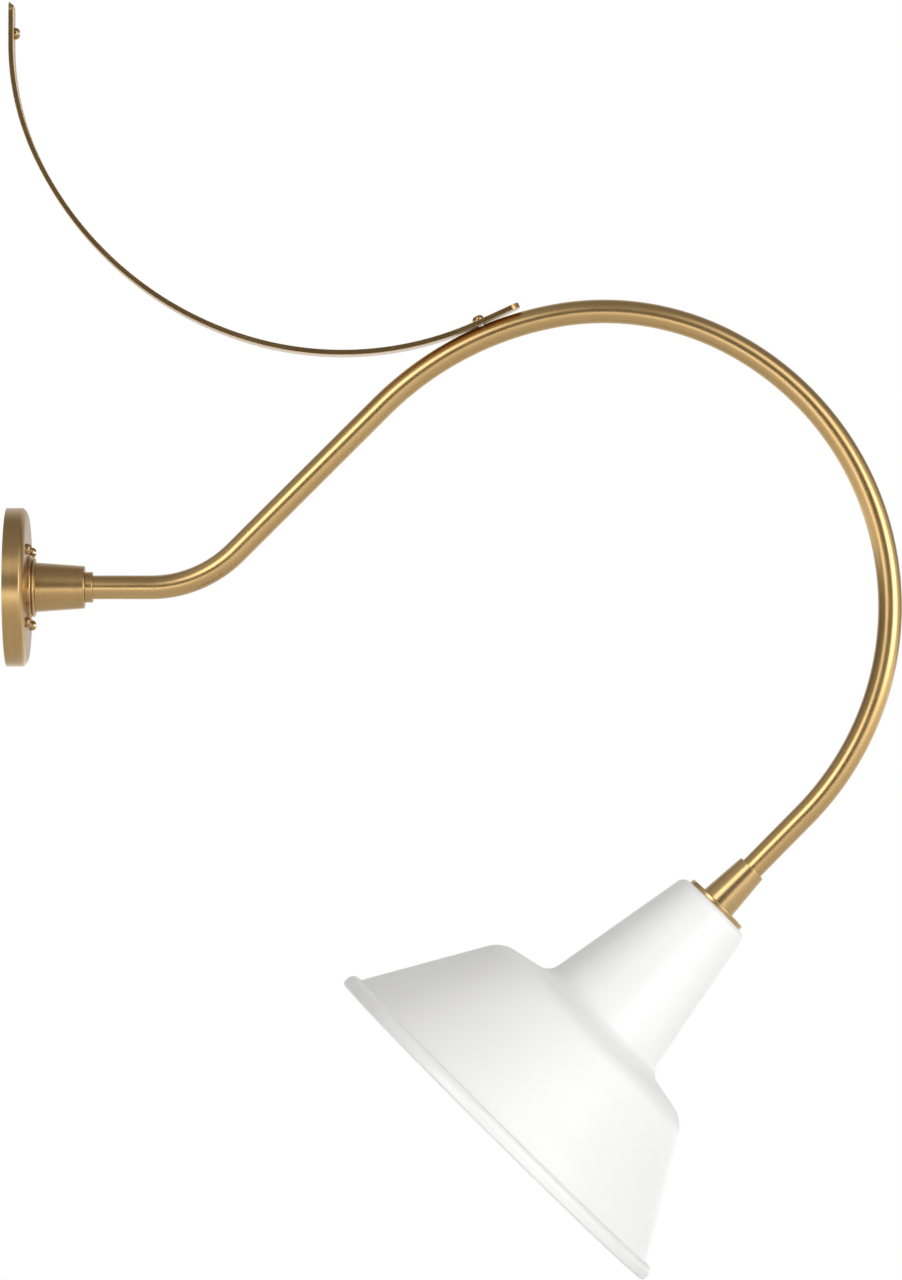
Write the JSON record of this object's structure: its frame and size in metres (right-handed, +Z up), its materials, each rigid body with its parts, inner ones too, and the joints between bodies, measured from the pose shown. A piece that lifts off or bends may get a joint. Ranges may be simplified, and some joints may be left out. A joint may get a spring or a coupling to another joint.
{
  "type": "picture light",
  "caption": "Wall-mounted gooseneck picture light: brass wall plate, hub and arm, a flat brace strap up to the wall, and a white angled metal shade around a screw-in bulb.",
  "frame": {"origin": "centre of the wall plate, on its back face and on the axis of the hub", "axes": "+X out of the wall along the hub, +Z up, the whole arm lies in the plane Y = 0"},
  "size_m": [0.717, 0.3365, 1.0228],
  "materials": {
    "satin_brass": "satin, lathe-brushed, lacquered",
    "tube_brass": "satin, brushed along the tube, lacquered",
    "strap_brass": "satin, brushed along the strap, lacquered",
    "screw_brass": "turned, slightly darker",
    "shell_brass": "nickel-tinted, rolled thread",
    "zinc_steel": "zinc plated",
    "green_screw": "green dyed zinc",
    "white_enamel": "satin gloss white, inside and out",
    "porcelain": "glazed",
    "black_insulation": "extruded",
    "white_insulation": "extruded",
    "connector_nylon": "moulded",
    "cap_aluminium": "rolled thread",
    "black_glass": "black glass insulator",
    "solder_tip": "soldered",
    "frosted_glass": "frosted white"
  },
  "bodies": {
    "fixture": {"wall_plate": "satin_brass", "backing_disc": "zinc_steel", "plate_posts": "zinc_steel", "plate_screws": "screw_brass", "ground_screw": "green_screw", "hub_base_ring": "satin_brass", "hub_cone": "satin_brass", "hub_collar": "satin_brass", "hub_stem": "zinc_steel", "stem_washer": "zinc_steel", "stem_locknut": "zinc_steel", "gooseneck_tube": "tube_brass", "brace_strap": "strap_brass", "brace_insert": "zinc_steel", "brace_wall_screw": "screw_brass", "brace_wall_nut": "screw_brass", "brace_tube_screw": "screw_brass", "coupling_cone": "satin_brass", "tube_end_bush": "satin_brass", "shade_stem": "zinc_steel", "cap_disc": "satin_brass", "shade": "white_enamel", "shade_washer": "zinc_steel", "shade_locknut": "zinc_steel", "lampholder_cup": "satin_brass", "lampholder_body": "porcelain", "screw_shell": "shell_brass", "centre_contact": "shell_brass", "terminal_screws": "screw_brass", "line_wire": "black_insulation", "neutral_wire": "white_insulation", "wire_connectors": "connector_nylon"},
    "bulb_foot": {"bulb_insulator": "black_glass", "bulb_contact": "solder_tip"},
    "bulb": {"bulb_cap": "cap_aluminium", "bulb_glass": "frosted_glass"}
  },
  "joints": [
    {"name": "bulb_travel", "type": "slide", "parent": "fixture", "child": "bulb_foot", "axis": [-0.7028, 0, -0.7114], "range_m": [0, 0.0255]},
    {"name": "bulb_turn", "type": "hinge", "parent": "bulb_foot", "child": "bulb", "pos_m": [0.56665, 0, -0.25523], "axis": [-0.7028, 0, -0.7114], "range_deg": [0, 2520]}
  ],
  "couplings": [
    {"joint": "bulb_travel", "follows": "bulb_turn", "m_per_rad": 0.00057751}
  ]
}
